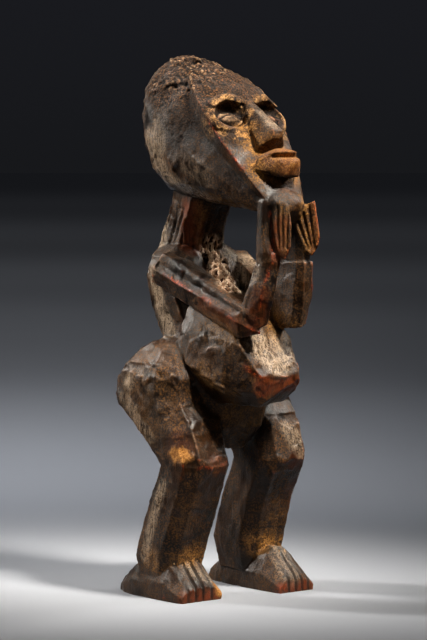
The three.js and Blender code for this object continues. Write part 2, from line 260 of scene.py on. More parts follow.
# Recesses where dust lies
DUSTY = [
    ([head_spot(-11, 24, 9), MOUTH, head_spot(11, 24, 9)], 9, 1.0),
    ([head_spot(-9, 36, 9), head_spot(-8, 50, 8)], 7, 0.9),
    ([head_spot(9, 36, 9), head_spot(8, 50, 8)], 7, 0.9),
    ([head_spot(0, 33, 14)], 7, 0.8),
    ([spot(-14, 38, 211), spot(-14, 14, 219)], 8, 0.9),
    ([spot(-8, -2, 213), spot(-9, -2, 196)], 5, 0.6),
    ([spot(-7, 67, 210), spot(-7, 66, 192)], 5, 0.5),
    ([spot(11, 60, 213), spot(14, 62, 192)], 6, 0.8),
    ([spot(-30, 15, 24), spot(-46, 0, 21)], 6, 1.0),
    ([spot(-32, 14, 25), spot(-18, 12, 24)], 5, 0.9),
    ([spot(42, 8, 25), spot(18, 10, 25)], 6, 1.0),
    ([spot(12, 42, 146), spot(20, 34, 143)], 10, 1.0),
    ([spot(-20, 40, 140), spot(-30, 24, 150)], 8, 0.5),
    ([spot(-28, 22, 124), spot(-26, 38, 114)], 6, 0.6),
    ([spot(-14, 30, 98), spot(14, 28, 98)], 8, 0.5),
    ([spot(-38, 20, 54), spot(-40, 16, 40)], 6, 0.4),
    ([spot(30, 22, 44), spot(30, 14, 34)], 9, 0.4),
    ([spot(-40, -6, 116), spot(-38, 0, 96)], 14, 0.4),
]
# Edges that hands have worn
WORN = [
    ([spot(-15, 54, 118), spot(15, 50, 117)], 9, 1.0),
    ([spot(-31, -14, 181), spot(-24, 44, 158)], 8, 0.7),
    ([spot(-30, -16, 172), spot(-20, 50, 145)], 6, 0.6),
    ([spot(-17, 57, 146), spot(-18, 58, 168), spot(-14, 59, 184)], 6, 0.9),
    ([spot(-9, 66, 185), spot(-7, 69, 203)], 6, 1.0),
    ([spot(-11, 58, 215), spot(-12, 60, 200)], 4, 0.7),
    ([spot(17, 64, 190), spot(15, 64, 216)], 6, 1.0),
    ([spot(19, 52, 150), spot(18, 58, 182)], 6, 0.7),
    ([head_spot(-27, 70, 3), head_spot(-27, 55, 2), head_spot(-23, 36, 3),
      head_spot(-15, 14, 4)], 7, 1.0),
    ([head_spot(27, 70, 3), head_spot(27, 55, 2), head_spot(23, 36, 3), head_spot(15, 14, 4)], 7, 1.0),
    ([MOUTH], 17, 1.0),
    ([head_spot(0, 38, 20)], 8, 1.0),
    ([spot(-44, 28, 74), spot(-16, 31, 73)], 10, 1.0),
    ([spot(16, 28, 74), spot(44, 26, 73)], 11, 1.0),
    ([spot(-46, 26, 4), spot(-18, 28, 4)], 7, 1.0),
    ([spot(16, 34, 4), spot(42, 32, 4)], 8, 0.9),
    ([spot(44, 26, 68), spot(44, 12, 34)], 8, 0.8),
]
# Painted highlights: pale silver-brown laid on facets, rims and ridges where the light falls
PAINTED_HIGHLIGHTS = [
    ([spot(-9, 45, 139), spot(0, 49, 129), spot(9, 44, 137)], 9, 1.0),
    ([head_spot(-24, 84, -40), head_spot(-26, 58, -46), head_spot(-21, 34, -34)], 7, 0.75),
    ([head_spot(24, 84, -40), head_spot(26, 58, -46), head_spot(21, 34, -34)], 8, 0.8),
    ([spot(-28.6, -14, 259), spot(-28, -16, 246)], 7, 1.0),
    ([spot(-27, 4, 238), spot(-26, 20, 229)], 6, 0.3),
    ([spot(-29, -4, 272), spot(-28, 6, 262)], 5, 0.4),
    ([spot(-14, -30, 210), spot(-15, -29, 190)], 5, 1.0),
    ([spot(13, -33, 211), spot(15, -36, 188)], 6, 0.8),
    ([spot(-27, -22, 176), spot(-26, -18, 160), spot(-26, -9, 142)], 4.5, 1.0),
    ([spot(10, -4, 188), spot(20, 0, 184)], 8, 0.8),
    # Painted light on the chest wall, which lies in shade
    ([spot(9, 0, 180), spot(15, 2, 170)], 8, 1.0),
    ([spot(-24, -16, 189), spot(-33, -17, 178)], 3.5, 0.8),
    ([spot(30, 28, 90), spot(38, 28, 78)], 6, 0.6),
    ([spot(-47, -19, 117)], 5, 1.0),
    ([spot(-47, -22, 108), spot(-46, -2, 88)], 4, 0.6),
    ([spot(-46, 8, 62), spot(-47, -1, 37), spot(-47, -5, 22)], 3.5, 0.9),
    ([spot(45, 22, 62), spot(45, 10, 38)], 5, 0.8),
    ([spot(-34, 18, 16), spot(-26, 22, 13)], 5, 0.6),
    ([spot(30, 20, 22), spot(26, 30, 9)], 7, 0.5),
    ([head_spot(0, 62, 12), head_spot(0, 44, 19)], 4, 0.6),
    ([spot(-12, 55, 186), spot(-15, 52, 174)], 4, 0.5),
]
# Red-brown stain where the patina is thin
STAINED = [
    ([spot(-13, 54, 117), spot(13, 50, 116)], 5, 0.9),
    ([spot(-26, 32, 74)], 6, 0.3),
    ([spot(34, 28, 72)], 6, 0.3),
    ([spot(-11, -7, 212), spot(-11, -8, 190)], 6, 0.9),
    ([spot(-19, 52, 147), spot(-18, 57, 166)], 5, 0.45),
    ([spot(-9, 62, 188), spot(-8.5, 64, 204)], 4, 0.7),
    ([spot(16, 64, 190), spot(16, 64, 212)], 4, 0.5),
    ([spot(-27, 20, 160), spot(-24, 44, 150)], 4, 0.4),
    ([MOUTH], 13, 0.4),
    ([spot(44, 16, 56)], 12, 0.4),
    ([spot(-43, 20, 84)], 8, 0.3),
    ([spot(-44, 25, 2), spot(-32, 28, 2), spot(-20, 27, 2)], 4, 0.9),
    ([spot(18, 34, 2), spot(30, 35, 2), spot(41, 32, 2)], 4, 1.0),
]
# Forms that were rubbed round
SOFT = [
    ([MOUTH], 18, 1.0),
    ([head_spot(0, 6, 0)], 13, 1.0),
    ([spot(22, 18, 103), spot(40, 14, 100)], 8, 1.0),
    ([spot(-17, -7, 281), spot(-22, -11, 278), spot(-25, -24, 274), spot(-22, -36, 271)], 6, 1.0),
    ([spot(-46, -20, 122), spot(-47, -24, 112), spot(-46, -22, 104)], 6, 1.0),
]
LIPS = [([MOUTH], 14, 1.0)]
# The arms, as lines of points: they take shallower cuts
ARMS = [
    [spot(-24, -14, 180), spot(-18, 48, 151)],
    [spot(-15, 50, 150), spot(-11, 56, 186)],
    [spot(24, -14, 180), spot(16, 44, 153)],
    [spot(14, 48, 150), spot(14, 50, 186)],
]

# Edges rubbed red, as lines of points
RUBBED = [
    [spot(-42, 30, 71.5), spot(-36, 32.6, 74), spot(-30, 32.6, 72), spot(-20, 32.6, 75),
     spot(-13.5, 25.6, 73)],
    [spot(45.5, 21.7, 74), spot(38.6, 29.5, 72), spot(24, 29.5, 71)],
    [spot(-22, 48, 128), spot(-15, 55, 121.5), spot(0, 53.5, 119), spot(15.5, 52, 121),
     spot(17, 46, 113)],
    [spot(-15, 55, 121.5), spot(-17, 53, 114.5), spot(-8, 51, 110)],
    [spot(-31.5, -8, 175.5), spot(-29, 7, 169), spot(-26.5, 26, 161), spot(-25, 44, 152),
     spot(-19, 53, 147)],
    [spot(-19, 53, 147), spot(-18, 57, 160), spot(-16.5, 58, 172), spot(-12, 61, 184)],
    [spot(-12, 60, 187), spot(-10.7, 59, 195), spot(-11.4, 57.3, 209)],
    [spot(-8.5, 66.3, 184.6), spot(-7, 69.3, 194)],
    [spot(14.3, 62.2, 186), spot(16.4, 64.6, 191), spot(17, 65.5, 196), spot(15, 63.5, 216)],
    [spot(19, 52, 149), spot(19.5, 57, 168), spot(18, 58.4, 183)],
    [spot(-47, 8, 2), spot(-46, 24, 3), spot(-32, 27.5, 3), spot(-19, 26, 3)],
    [spot(17, 34, 3), spot(30, 35, 3.5), spot(41, 32, 3)],
    [spot(45, 27, 72), spot(44, 20, 56), spot(43, 14, 42)],
]
# The edge of the face from the temple to the jaw, on both sides
FACE_EDGE = ((26.5, 62, 3.8), (24.5, 47, 3.1), (21.5, 33, 2.8), (19, 24, 2.4))
RUBBED += [[head_spot(side * across, up, out) for across, up, out in FACE_EDGE] for side in (-1, 1)]

# Patches where the patina is gone: the middle, and the weight of distance along each axis
BARE = [
    (spot(-43.5, 21, 79.5), (0.6, 0.62, 1)),
    (spot(-19, 26, 8), (1, 1, 0.55)),
]

# Knife lines and cracks that are finer than the solid: corner points, half width and depth
CUTS = [
    ([spot(-8, -2, 215), spot(-9, -6, 200), spot(-10, -9, 186)], 1.7, 1.3),
    ([spot(-14, -10, 213), spot(-14.5, -15, 200), spot(-15, -19, 186)], 1.7, 1.2),
    ([spot(-15, -20, 212), spot(-15.5, -26, 200), spot(-16.5, -30, 186)], 1.3, 0.9),
    ([spot(-4, 1, 214), spot(-5, -3, 200), spot(-5, -6, 188)], 1.4, 1.1),
    ([spot(1, 2, 213), spot(2, -2, 200), spot(2, -5, 188)], 1.1, 0.9),
    ([spot(-43, -12, 131), spot(-44.5, 0, 126), spot(-44.3, 5, 121)], 0.9, 0.8),
    ([spot(-36, 4, 131), spot(-41, 3, 126), spot(-44.3, 5, 121), spot(-46, 2, 112)], 0.9, 0.9),
    ([spot(-37, 6, 130), spot(-39.7, 12, 119), spot(-41, 16, 108)], 0.8, 0.7),
    ([spot(-46.5, -6, 124), spot(-47, -8, 112), spot(-46, -2, 98)], 0.8, 0.6),
    ([spot(-30, 13, 124), spot(-26, 37, 117.5), spot(-20, 44, 111), spot(-13.8, 44, 106.4)], 1.2, 0.9),
    ([spot(-44, 8, 96), spot(-45, 14, 86)], 0.7, 0.5),
]
# Cuts between toes and fingers: half width and depth
TOE_CUT = (0.8, 0.8)

# Corners of the web of rotten wood that still hangs between the neck and the right arm
WEB = [
    spot(-1, -3, 188),
    spot(-9, 10, 179),
    spot(-14, 26, 171),
    spot(-15, 34, 166.5),
    spot(4, -3, 184),
    spot(1, 12, 173),
    spot(-5, 24, 166),
    spot(-9, 34, 162),
    spot(-12, 0, 165),
    spot(4, 0, 165),
    spot(-14, 30, 156),
    spot(-5, 30, 156),
]


def toe_lines(side, toe, inner, outer):
    """The four cuts that part the toes of one foot, from the instep to the ground."""
    lines = []
    for share in (0.26, 0.46, 0.64, 0.82):
        x, fall = side * (inner + share * (outer - inner)), 2.5 * share
        lines.append([spot(x * 0.94 + side * 1.5, toe - 15, 23.5 - fall), spot(x, toe - 2.6, 11.4 - fall),
                      spot(x, toe, 7.6 - fall), spot(x, toe + 0.8, -2)])
    return lines


def finger_lines(side, tips, heels):
    """The three cuts that part the fingers of one hand."""
    def between(ends, share):
        mix = np.array(ends[0]) * (1 - share) + np.array(ends[1]) * share
        return spot(side * mix[0], mix[1], mix[2])
    return [[between(tips, share), between(heels, share)] for share in (0.25, 0.5, 0.75)]


TOES = toe_lines(-1, 26.5, 18.5, 47.5) + toe_lines(1, 34, 16.5, 42)
FINGERS = (finger_lines(-1, ((11, 57.5, 216), (6, 70, 216)), ((11.5, 61.5, 190), (7.4, 69, 190)))
           + finger_lines(1, ((5, 51, 210), (15, 63.5, 219)), ((12, 59.5, 189), (16, 64.5, 189))))


def face_mask(points):
    """1 over the features of the face, where the broad knife facets leave off."""
    across, up, out = in_head(points)
    ahead = smooth(-24, -12, out) * smooth(-6, 2, up) * (1 - smooth(74, 84, up))
    return ahead * (1 - smooth(24, 29, np.abs(across)))


def fine_mask(points):
    """1 over the face, hands and toes, which keep their own small forms."""
    mask = face_mask(points)
    for hand in HANDS:
        mask = np.maximum(mask, blob(points, hand, 17, 0.2))
    toes = smooth(12, 18, -points[:, 1]) * (1 - smooth(22, 27, points[:, 2]))
    return np.maximum(mask, toes)


def crust_mask(points):
    """1 where old offerings crust the brow, the temples and the crown."""
    _, up, out = in_head(points)
    brow = smooth(52, 70, up + 3 * noise(points, 9, 11)) * smooth(-38, -20, out)
    around = np.zeros(len(points))
    for eye in EYES:
        gap = np.linalg.norm(points - eye, axis=1)
        around = np.maximum(around, 1 - smooth(15, 21, gap + 3 * noise(points, 6, 12)))
    crown = smooth(276, 284, points[:, 2] + 2.5 * noise(points, 8, 13))
    return np.clip(np.maximum(np.maximum(brow, around * 0.9), crown), 0, 1)


# Carving
def eye_relief(points):
    """Almond eyes with lids, in the hollows under the brow."""
    half_width, half_height = 7.6, 3.7
    ball_rise, lid_rise, crease_depth = 1.5, 1.0, 0.45
    across, up, out = in_head(points)
    u, v = (np.abs(across) - EYE_ACROSS) / half_width, (up - EYE_UP) / half_height
    lens = 1 - u * u - np.abs(v) * (1 + 0.25 * np.sign(v) * u)
    ball = ball_rise * smooth(0.05, 0.75, lens)
    lids = lid_rise * np.exp(-((lens + 0.42) / 0.26) ** 2) * smooth(-1.35, -1.0, -np.abs(u))
    crease = crease_depth * np.exp(-(lens / 0.10) ** 2)
    return (ball + lids - crease) * (out > -6)


# The knife's cuts run up the wood. They wobble and are slightly hollow, and each leans its own way.
CUT_STRETCH = (1, 1, 0.5)
CUT_WOBBLE, WOBBLE_SIZE = 1.2, 7
CUT_LEAN = 0.045
CUT_HOLLOW = 0.22
# The surface's direction is rounded to one of 27 sides, and a cut stays on one of them.
SIDES_APART = 1.1
SIDES = 27
# A patch fades out where it has fewer points than these.
WHOLE_CUT = (20, 60)
# Two rounds of cuts: size, seed and most depth
BROAD_CUTS = (12, 21, 0.6)
SMALL_CUTS = (6, 41, 0.35)
SMALL_SHARE = 0.6
# The arms and calves take cuts this much shallower.
SHALLOWER = 0.6
ARM_RADIUS = 13
# How much an edge is sharpened, and the furthest that it moves in and out
CRISP, CRISP_IN, CRISP_OUT = 1.2, -0.35, 0.45


def facets(surface, size, seed, most):
    """Flat knife cuts: every patch of the surface is drawn to its own mean plane.

    Returns how far each point goes out, at most so many millimetres, and the tone of its cut.
    """
    points, normal = surface.points, surface.normals()
    wobble = np.stack([noise(points, WOBBLE_SIZE, seed + k) for k in (5, 6, 7)], axis=1)
    name, _ = cells(points * CUT_STRETCH + CUT_WOBBLE * wobble, size, seed)
    side = np.round(normal * SIDES_APART).astype(np.int64)
    name = name * SIDES + (side[:, 0] * 3 + side[:, 1]) * 3 + side[:, 2]
    _, patch = np.unique(name, return_inverse=True)
    count = np.bincount(patch).astype(float)
    centre = np.stack([np.bincount(patch, points[:, k]) for k in range(3)], axis=1) / count[:, None]
    plane = unit(np.stack([np.bincount(patch, normal[:, k]) for k in range(3)], axis=1))
    plane = unit(plane + CUT_LEAN * rng.normal(size=plane.shape))
    reach = np.linalg.norm(points - centre[patch], axis=1)
    bowl = CUT_HOLLOW * (np.clip(reach / (0.5 * size), 0, 1.3) ** 2 - 0.6)
    drop = dot(centre[patch] - points, plane[patch])
    lean = np.maximum(dot(normal, plane[patch]), 0.5)
    whole = smooth(*WHOLE_CUT, count[patch])
    tone = rng.random(len(count))[patch]
    return np.clip((drop + bowl) / lean, -most, most) * whole, tone


def cut_facets(surface, fine, crust):
    """Broad cuts, then small ones. Returns the tone of each point's cut."""
    arms = swept(surface.points, [(line, ARM_RADIUS, 1.0) for line in ARMS], 0.25)
    calves = 1 - smooth(68, 84, surface.points[:, 2])
    depth, broad_tone = facets(surface, *BROAD_CUTS)
    depth = depth * (1 - fine) * (1 - 0.6 * crust) * (1 - SHALLOWER * np.maximum(arms, calves))
    surface.push(surface.relaxed(depth, 5))
    depth, small_tone = facets(surface, *SMALL_CUTS)
    surface.push(surface.relaxed(depth * (1 - 0.75 * fine) * SMALL_SHARE, 3))

    # The knife left its edges crisp.
    edges = dot(surface.points - surface.relaxed(surface.points, 8), surface.normals())
    surface.push(np.clip(CRISP * edges, CRISP_IN, CRISP_OUT) * (1 - 0.5 * fine))
    return 0.65 * broad_tone + 0.35 * small_tone


# Sizes of the lumps and pits of crust and of the crumbs and holes of rotten wood
SMALL_PIT, WIDE_PIT, FURROW, LUMP = 2.1, 4.8, 6, 4.4
CRUMB, HOLE = 2.6, 3.4


def crust_relief(points, crust):
    """The crust is lumpy, furrowed and full of small pits."""
    _, from_small = cells(points, SMALL_PIT, 71)
    _, from_wide = cells(points, WIDE_PIT, 72)
    crown = smooth(268, 282, points[:, 2])
    pits = -0.55 * (1 - smooth(0.22, 0.5, from_small)) - 0.9 * crown * (1 - smooth(0.18, 0.4, from_wide))
    folds = np.abs(noise(points * (1, 0.6, 1), FURROW, 74, 3))
    furrows = crown * (0.4 - 1.3 * smooth(0.0, 1.0, 1 - 3.2 * folds))
    rough = 0.4 + 0.6 * smooth(-0.3, 0.4, noise(points, 14, 75))
    lumps = (0.45 + 0.45 * crown) * noise(points, LUMP, 73, 3)
    around_eyes = 1 - np.max([blob(points, eye, 9.5, 0.15) for eye in EYES], axis=0)
    face = face_mask(points)
    relief = crust * rough * (pits + furrows + lumps) * around_eyes * (1 - 0.7 * face)
    return relief - 0.35 * (1 - smooth(0.2, 0.42, from_small)) * crust * face * around_eyes


def rotten_relief(points):
    """Rotten wood has crumbled and split along its grain."""
    crumbs = np.abs(noise(points * (1.5, 0.9, 0.4), CRUMB, 81, 3))
    holes = 1 - smooth(0.25, 0.6, cells(points * (1, 1, 0.6), HOLE, 83)[1])
    return swept(points, ROTTEN, 0.35) * (0.9 - 4.2 * crumbs + noise(points, 4, 82) - 1.6 * holes)


def grain_relief(points, fine):
    """Shallow unevenness along the grain, and the grain itself."""
    uneven = 0.13 * noise(points * (1, 1, 0.35), 2.6, 61) * (1 - 0.5 * fine)
    return uneven + 0.05 * noise(points * (1, 1, 0.08), 0.9, 91) * (1 - fine)


def cut_depth(points, line, width, depth):
    """A knife line or crack that fades out at both ends."""
    gap, share = near_line(points, line)
    fade = smooth(0, 0.12, share) * (1 - smooth(0.88, 1, share))
    return depth * np.clip(1 - gap / width, 0, 1) * fade


def carve(surface):
    """All the relief that is finer than the solid. Returns the tone of each knife cut."""
    surface.points = surface.relaxed(surface.points, 2)
    surface.soften(SOFT, 0.2, 16)
    surface.soften(LIPS, 0.3, 40)
    surface.push(eye_relief(surface.points))
    fine = fine_mask(surface.points)
    crust = crust_mask(surface.points)
    tone = cut_facets(surface, fine, crust)

    points = surface.points
    relief = grain_relief(points, fine) + crust_relief(points, crust) + rotten_relief(points)
    for line, width, depth in CUTS + [(line, *TOE_CUT) for line in TOES + FINGERS]:
        relief -= cut_depth(points, line, width, depth)
    surface.push(relief)
    surface.points = surface.relaxed(surface.points, 1, 0.35)
    return tone


# The figure
SKY_RAYS = 14
SKY_REACH = 26.0
OFF_SURFACE = 0.35


def open_sky(points, normals, tree):
    """The share of open sky round each point, near at hand."""
    golden = math.pi * (3 - math.sqrt(5))
    up = 1 - (np.arange(SKY_RAYS) + 0.5) / SKY_RAYS
    flat = np.sqrt(1 - up * up)
    turn = np.arange(SKY_RAYS) * golden
    rays = np.stack([flat * np.cos(turn), flat * np.sin(turn), up], axis=1)
    side = np.where(np.abs(normals[:, :1]) < 0.9, [[1.0, 0, 0]], [[0, 1.0, 0]])
    u = unit(np.cross(normals, side))
    v = np.cross(normals, u)
    starts = (points + normals * OFF_SURFACE).tolist()
    sky = np.zeros(len(points))
    for ray in rays:
        ways = (u * ray[0] + v * ray[1] + normals * ray[2]).tolist()
        hits = [tree.ray_cast(start, way, SKY_REACH)[3] for start, way in zip(starts, ways)]
        sky += np.array([1.0 if hit is None else min(1.0, hit / SKY_REACH) for hit in hits])
    return sky / SKY_RAYS


def evaluated(obj, name):
    """The object's mesh with its modifiers applied, as a mesh of its own."""
    depsgraph = bpy.context.evaluated_depsgraph_get()
    mesh = bpy.data.meshes.new_from_object(obj.evaluated_get(depsgraph))
    mesh.name = name
    return mesh


def with_web(solid):
    """The solid and the web in one mesh."""
    web = bmesh.new()
    for corner in WEB:
        web.verts.new((corner + MIDDLE) / 1000)
    bmesh.ops.convex_hull(web, input=web.verts)
    shell = bpy.data.meshes.new("web")
    web.to_mesh(shell)
    web.free()
    body = bmesh.new()
    body.from_mesh(solid)
    body.from_mesh(shell)
    joined = bpy.data.meshes.new("joined")
    body.to_mesh(joined)
    body.free()
    return joined


def even_mesh(solid):
    """The solid and the web as one closed mesh of small even faces."""
    work = bpy.data.objects.new("work", with_web(solid.data))
    bpy.context.scene.collection.objects.link(work)
    remesh = work.modifiers.new("remesh", "REMESH")
    remesh.mode = "VOXEL"
    remesh.voxel_size = VOXEL / 1000
    dense = Surface(evaluated(work, "dense"))
    bpy.data.objects.remove(work)
    return dense


def thinned(dense, name):
    """An object with the carved mesh brought down to the number of triangles it may have."""
    work = bpy.data.objects.new("work", dense.mesh)
    bpy.context.scene.collection.objects.link(work)
    thin = work.modifiers.new("thin", "DECIMATE")
    thin.ratio = min(1.0, MOST_TRIANGLES / len(dense.tris))
    figure = bpy.data.objects.new(name, evaluated(work, name))
    bpy.context.scene.collection.objects.link(figure)
    bpy.data.objects.remove(work)
    return figure


def nearest_points(points, to_points):
    """The number of the nearest point for each point of a second set."""
    tree = KDTree(len(points))
    for i, place in enumerate(points.tolist()):
        tree.insert(place, i)
    tree.balance()
    return np.array([tree.find(place)[1] for place in to_points.tolist()])


# What the points of the figure tell its material
POINT_MARKS = (
    "rubbed", "pale", "stain", "groove", "wear", "worn_spot", "dust", "sky", "sunk", "crust", "tone", "rot",
    "bare", "ring", "crown",
)


def point_marks(surface, ridge, swell, tone):
    """A number from 0 to 1 for each mark at each point.

    Ridge and swell are how far the carving stands proud of its own softened shape, near and wide.
    Where it stands proud it is worn and takes a painted highlight, and where it sinks it takes painted
    shade.
    """
    points = surface.points
    tree = BVHTree.FromPolygons(points.tolist(), surface.tris.tolist())
    sky = open_sky(points, surface.normals(), tree)
    patch = noise(points, 5, 101, 3)
    edge = smooth(0.10, 0.34, ridge + 0.05 * patch) + 0.8 * smooth(0.5, 1.3, swell + 0.25 * patch)
    instep = 0.6 + 0.4 * smooth(8, 11, points[:, 2])
    gap = np.min([np.linalg.norm((points - place) * stretch, axis=1) for place, stretch in BARE], axis=0)
    from_eye = np.min([np.linalg.norm(points - eye, axis=1) for eye in EYES], axis=0) + 2 * patch
    return {
        "rubbed": 1 - smooth(0.1, 1.15, nearest(points, RUBBED) + 1.1 * patch),
        # Where a highlight is painted on lit facets and rims
        "pale": swept(points, PAINTED_HIGHLIGHTS, 0.35),
        "stain": swept(points, STAINED),
        "groove": (1 - smooth(0.2, 1.7, nearest(points, TOES))) * instep,
        "wear": np.clip(edge, 0, 1),
        "worn_spot": swept(points, WORN),
        "dust": np.clip(swept(points, DUSTY, 0.6) * (1.25 - 0.8 * sky), 0, 1),
        "sky": sky,
        "sunk": smooth(0.05, 0.5, -ridge * 1.6 - 0.35 * swell),
        "crust": crust_mask(points),
        "tone": tone,
        "rot": swept(points, ROTTEN, 0.4),
        "bare": 1 - smooth(3.4, 5.2, gap + 1.6 * noise(points, 3, 103, 2)),
        "ring": smooth(8.5, 10.5, from_eye) * (1 - smooth(12, 16, from_eye)),
        "crown": smooth(256, 272, points[:, 2] + 6 * patch) * smooth(-60, -20, in_head(points)[2]),
    }


def build_figure():
    """The carved figure as one object, with the marks that its material reads."""
    dense = even_mesh(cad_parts["figure"])
    tone = carve(dense)
    normal = dense.normals()
    near = dense.relaxed(dense.points, 5)
    wide = dense.relaxed(near, 26)
    ridge = dot(dense.points - near, normal)
    swell = dot(dense.points - wide, normal)
    tone = dense.relaxed(tone, 1)
    dense.write()

    figure = thinned(dense, "carved_figure")
    final = Surface(figure.data)
    source = nearest_points(dense.points, final.points)
    marks = point_marks(final, ridge[source], swell[source], tone[source])
    for name in POINT_MARKS:
        layer = figure.data.attributes.new(name, "FLOAT", "POINT")
        layer.data.foreach_set("value", marks[name].astype(np.float32))
    for polygon in figure.data.polygons:
        polygon.use_smooth = True
    return figure


# Materials
class Nodes:
    """A short way to write a node material. Shares and amounts are numbers or sockets."""

    def __init__(self, name):
        self.material = bpy.data.materials.new(name)
        self.material.use_nodes = True
        self.tree = self.material.node_tree
        self.shader = self.tree.nodes["Principled BSDF"]

    def make(self, kind, settings=None, **inputs):
        node = self.tree.nodes.new(kind)
        for key, value in (settings or {}).items():
            setattr(node, key, value)
        for key, value in inputs.items():
            self.feed(node.inputs[key.replace("_", " ")], value)
        return node

    def feed(self, socket, value):
        if isinstance(value, bpy.types.NodeSocket):
            self.tree.links.new(value, socket)
        else:
            socket.default_value = value

    def chain(self, operation, first, *others):
        """One number from several, taken two at a time."""
        for other in others:
            node = self.make("ShaderNodeMath", {"operation": operation})
            self.feed(node.inputs[0], first)
            self.feed(node.inputs[1], other)
            first = node.outputs[0]
        return first

    def times(self, *values):
        return self.chain("MULTIPLY", *values)

    def plus(self, *values):
        return self.chain("ADD", *values)

    def minus(self, value, taken):
        return self.chain("SUBTRACT", value, taken)

    def most(self, *values):
        return self.chain("MAXIMUM", *values)

    def step(self, value, low, high):
        """0 up to low, 1 from high on, and smooth between them. It falls where low is the greater."""
        node = self.make("ShaderNodeMapRange", {"interpolation_type": "SMOOTHSTEP"},
                         Value=value, From_Min=low, From_Max=high)
        return node.outputs["Result"]

    def mix(self, share, under, over):
        """The colour under, with a share of the colour over."""
        node = self.make("ShaderNodeMix", {"data_type": "RGBA", "clamp_factor": True})
        factor, colour_under, colour_over = node.inputs[0], node.inputs[6], node.inputs[7]
        self.feed(factor, share)
        self.feed(colour_under, under)
        self.feed(colour_over, over)
        return node.outputs[2]

    def attribute(self, name):
        return self.make("ShaderNodeAttribute", {"attribute_name": name}).outputs["Fac"]

    def noise(self, place, scale, detail, rough):
        node = self.make("ShaderNodeTexNoise", Vector=place, Scale=scale, Detail=detail, Roughness=rough)
        return node.outputs["Fac"]


def rgb(r, g, b):
    return (r, g, b, 1.0)


# Noise in the wood: lumps in a metre, detail and roughness
CLOUDS = (48, 4, 0.55)
DRIFT = (75, 3, 0.6)
BLOTCH = (190, 4, 0.6)
SPECKS = (950, 3, 0.65)
GRAIN = (650, 3, 0.6)
SCRATCHES = (1100, 3, 0.6)
# The grain runs up the wood, and the scratches lean away from it.
GRAIN_STRETCH = (1.0, 1.0, 0.1)
SCRATCH_STRETCH = (1.0, 1.0, 0.09)
SCRATCH_TURN = (0.5, 0.35, 0.2)

# Colours of the patina
NEAR_BLACK = rgb(0.0045, 0.0022, 0.0012)
WARM_BROWN = rgb(0.043, 0.0180, 0.0048)
FRESH_BROWN = rgb(0.060, 0.030, 0.012)
POWDER_BROWN = rgb(0.135, 0.062, 0.014)
STAIN_RED = rgb(0.14, 0.034, 0.009)
PIT_BROWN = rgb(0.050, 0.030, 0.017)
# Pale silver-brown for the painted highlights
HIGHLIGHT_SILVER = rgb(0.36, 0.275, 0.198)
SOOT = rgb(0.007, 0.004, 0.003)
GRAIN_DARK = rgb(0.008, 0.005, 0.003)
# Colours of the crusted offerings, with a painted highlight on the crown's crests and painted shade where
# the crust sinks
CRUST_PORE = rgb(0.004, 0.0022, 0.0013)
CRUST_BROWN = rgb(0.032, 0.0155, 0.007)
CROWN_PORE = rgb(0.008, 0.0038, 0.0019)
CROWN_BROWN = rgb(0.165, 0.078, 0.029)
CROWN_CREST_HIGHLIGHT = rgb(0.46, 0.31, 0.185)
CRUST_PAINTED_SHADE = rgb(0.012, 0.007, 0.005)
TAN_DARK = rgb(0.11, 0.052, 0.016)
TAN_LIGHT = rgb(0.40, 0.235, 0.10)
# Colours of the rubbed edges; the pale edge brown is worn wood and also a painted highlight
EDGE_BROWN = rgb(0.17, 0.072, 0.030)
PALE_EDGE_WEAR_AND_HIGHLIGHT = rgb(0.33, 0.222, 0.138)
DEEP_RED = rgb(0.12, 0.014, 0.003)
ORANGE_RED = rgb(0.46, 0.085, 0.012)
# Colours of dust, of the painted shade in recesses, and of cuts
OCHRE_DARK = rgb(0.12, 0.050, 0.010)
OCHRE_LIGHT = rgb(0.42, 0.215, 0.055)
PAINTED_SHADE_DARK = rgb(0.007, 0.004, 0.0025)
GROOVE_DARK = rgb(0.014, 0.008, 0.005)
GROOVE_OPENED = rgb(0.38, 0.245, 0.135)
# Colours of rotten and bare wood, and the painted shade in the rotten wood's hollows
RAW_BROWN = rgb(0.30, 0.155, 0.075)
RAW_PALE = rgb(0.74, 0.56, 0.40)
HOLLOW_PAINTED_SHADE = rgb(0.075, 0.030, 0.011)
SCRAPED_DARK = rgb(0.27, 0.115, 0.026)
SCRAPED_LIGHT = rgb(0.45, 0.22, 0.060)

# Handling deepened what was dark and left what was pale.
DEEPENED = 1.13
SPECULAR = 0.2
BASE_ROUGHNESS = 0.32
MOST_ROUGHNESS = 0.95
BUMP_STRENGTH = 0.7
BUMP_METRES = 0.0007


def wood_patterns(wood):
    """The noise patterns of the wood, by name."""
    place = wood.make("ShaderNodeTexCoord").outputs["Object"]
    upright = wood.make("ShaderNodeMapping", Vector=place, Scale=GRAIN_STRETCH).outputs[0]
    slant = wood.make("ShaderNodeMapping", Vector=place, Rotation=SCRATCH_TURN, Scale=SCRATCH_STRETCH)
    return SimpleNamespace(
        clouds=wood.noise(place, *CLOUDS),
        drift=wood.noise(place, *DRIFT),
        blotch=wood.noise(place, *BLOTCH),
        specks=wood.noise(place, *SPECKS),
        grain=wood.noise(upright, *GRAIN),
        scratches=wood.noise(slant.outputs[0], *SCRATCHES),
    )


def powder_share(wood, marks, noises):
    """Where fine brown powder lies on the patina, but not on worn edges."""
    powder = wood.times(wood.step(noises.specks, 0.48, 0.6), wood.step(noises.drift, 0.38, 0.56))
    return wood.times(powder, wood.minus(1.0, wood.times(marks.wear, 0.8)))


